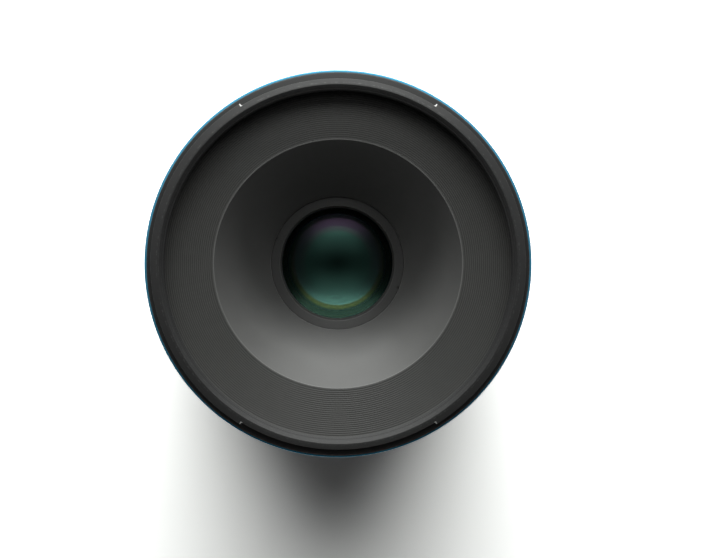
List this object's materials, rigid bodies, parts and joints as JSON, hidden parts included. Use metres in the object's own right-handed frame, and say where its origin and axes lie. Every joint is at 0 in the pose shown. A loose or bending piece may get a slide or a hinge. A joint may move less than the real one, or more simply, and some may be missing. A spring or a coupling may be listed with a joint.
{
  "type": "macro lens",
  "caption": "Manual macro lens for a mirrorless camera: ribbed focus and aperture rings, internal focusing groups, bladed iris, deep front cone, filter thread and hood bayonet.",
  "frame": {"origin": "centre of the mount flange's bearing face", "axes": "+Z along the optical axis towards the front; +Y is the side with the index line, the top of a mounted lens"},
  "size_m": [0.074, 0.074, 0.1222],
  "materials": {
    "chromed_mount": "satin chrome plate",
    "bright_screws": "plain steel",
    "dark_screws": "blackened",
    "index_dot": "gloss",
    "black_anodised": "black anodised, satin",
    "blue_anodised": "blue anodised, satin",
    "turned_plate": "black anodised over fine turned grooves",
    "satin_black": "satin black paint",
    "inner_aluminium": "matt black anodised",
    "baffle_black": "matt black",
    "grip_rubber": "moulded ribs",
    "brass_works": "machined",
    "blackened_steel": "blackened spring steel",
    "coated_glass": "polished, multicoated"
  },
  "bodies": {
    "barrel": {"bayonet_mount": "chromed_mount", "mount_screws": "bright_screws", "mount_index_dot": "index_dot", "rear_light_baffle": "baffle_black", "rear_barrel": "black_anodised", "main_barrel": "inner_aluminium", "index_ring": "black_anodised", "index_ring_screws": "dark_screws", "front_barrel": "inner_aluminium", "front_ring": "black_anodised", "accent_ring": "blue_anodised", "trim_plate": "turned_plate", "light_cone": "satin_black", "front_retaining_ring": "satin_black", "front_cell": "inner_aluminium", "front_cell_screws": "dark_screws", "front_element": "coated_glass", "second_element": "coated_glass", "third_element": "coated_glass", "fourth_element": "coated_glass", "front_spacer": "inner_aluminium", "front_lock_ring": "inner_aluminium", "iris_base": "inner_aluminium", "iris_base_screws": "dark_screws", "iris_clip_ring": "blackened_steel", "rear_cell": "inner_aluminium", "rear_cell_screws": "dark_screws", "rear_inner_element": "coated_glass", "rear_element": "coated_glass", "rear_retaining_ring": "inner_aluminium"},
    "focus": {"focus_ring": "black_anodised", "focus_grip": "grip_rubber", "focus_key_screw": "dark_screws", "cam_sleeve": "brass_works"},
    "middle_group": {"middle_carrier": "inner_aluminium", "middle_rear_element": "coated_glass", "middle_centre_element": "coated_glass", "middle_front_element": "coated_glass", "middle_retaining_ring": "inner_aluminium", "middle_rollers": "brass_works", "middle_roller_screws": "dark_screws"},
    "inner_group": {"inner_carrier": "inner_aluminium", "inner_rear_element": "coated_glass", "inner_front_element": "coated_glass", "inner_retaining_ring": "inner_aluminium", "inner_rollers": "brass_works", "inner_roller_screws": "dark_screws"},
    "aperture": {"aperture_ring": "black_anodised", "aperture_key_screw": "dark_screws", "aperture_link": "brass_works", "iris_drive_ring": "brass_works"},
    "blade_1": {"iris_blade_1": "blackened_steel"},
    "blade_2": {"iris_blade_2": "blackened_steel"},
    "blade_3": {"iris_blade_3": "blackened_steel"},
    "blade_4": {"iris_blade_4": "blackened_steel"},
    "blade_5": {"iris_blade_5": "blackened_steel"},
    "blade_6": {"iris_blade_6": "blackened_steel"},
    "blade_7": {"iris_blade_7": "blackened_steel"},
    "blade_8": {"iris_blade_8": "blackened_steel"},
    "blade_9": {"iris_blade_9": "blackened_steel"}
  },
  "joints": [
    {"name": "focus_turn", "type": "hinge", "parent": "barrel", "child": "focus", "pos_m": [0, 0, 0.055], "axis": [0, 0, 1], "range_deg": [0, 160]},
    {"name": "middle_group_slide", "type": "slide", "parent": "barrel", "child": "middle_group", "axis": [0, 0, 1], "range_m": [0, 0.02]},
    {"name": "inner_group_slide", "type": "slide", "parent": "barrel", "child": "inner_group", "axis": [0, 0, 1], "range_m": [0, 0.008]},
    {"name": "aperture_turn", "type": "hinge", "parent": "barrel", "child": "aperture", "pos_m": [0, 0, 0.1], "axis": [0, 0, 1], "range_deg": [0, 54]},
    {"name": "blade_1_swing", "type": "hinge", "parent": "barrel", "child": "blade_1", "pos_m": [0.0165, 0, 0.067], "axis": [0, 0, 1], "range_deg": [0, 31]},
    {"name": "blade_2_swing", "type": "hinge", "parent": "barrel", "child": "blade_2", "pos_m": [0.01264, 0.01061, 0.067], "axis": [0, 0, 1], "range_deg": [0, 31]},
    {"name": "blade_3_swing", "type": "hinge", "parent": "barrel", "child": "blade_3", "pos_m": [0.00287, 0.01625, 0.067], "axis": [0, 0, 1], "range_deg": [0, 31]},
    {"name": "blade_4_swing", "type": "hinge", "parent": "barrel", "child": "blade_4", "pos_m": [-0.00825, 0.01429, 0.067], "axis": [0, 0, 1], "range_deg": [0, 31]},
    {"name": "blade_5_swing", "type": "hinge", "parent": "barrel", "child": "blade_5", "pos_m": [-0.0155, 0.00564, 0.067], "axis": [0, 0, 1], "range_deg": [0, 31]},
    {"name": "blade_6_swing", "type": "hinge", "parent": "barrel", "child": "blade_6", "pos_m": [-0.0155, -0.00564, 0.067], "axis": [0, 0, 1], "range_deg": [0, 31]},
    {"name": "blade_7_swing", "type": "hinge", "parent": "barrel", "child": "blade_7", "pos_m": [-0.00825, -0.01429, 0.067], "axis": [0, 0, 1], "range_deg": [0, 31]},
    {"name": "blade_8_swing", "type": "hinge", "parent": "barrel", "child": "blade_8", "pos_m": [0.00287, -0.01625, 0.067], "axis": [0, 0, 1], "range_deg": [0, 31]},
    {"name": "blade_9_swing", "type": "hinge", "parent": "barrel", "child": "blade_9", "pos_m": [0.01264, -0.01061, 0.067], "axis": [0, 0, 1], "range_deg": [0, 31]}
  ],
  "couplings": [
    {"joint": "middle_group_slide", "follows": "focus_turn", "m_per_rad": 0.0071619},
    {"joint": "inner_group_slide", "follows": "focus_turn", "m_per_rad": 0.0028647},
    {"joint": "blade_1_swing", "follows": "aperture_turn", "ratio": 0.57407},
    {"joint": "blade_2_swing", "follows": "aperture_turn", "ratio": 0.57407},
    {"joint": "blade_3_swing", "follows": "aperture_turn", "ratio": 0.57407},
    {"joint": "blade_4_swing", "follows": "aperture_turn", "ratio": 0.57407},
    {"joint": "blade_5_swing", "follows": "aperture_turn", "ratio": 0.57407},
    {"joint": "blade_6_swing", "follows": "aperture_turn", "ratio": 0.57407},
    {"joint": "blade_7_swing", "follows": "aperture_turn", "ratio": 0.57407},
    {"joint": "blade_8_swing", "follows": "aperture_turn", "ratio": 0.57407},
    {"joint": "blade_9_swing", "follows": "aperture_turn", "ratio": 0.57407}
  ]
}
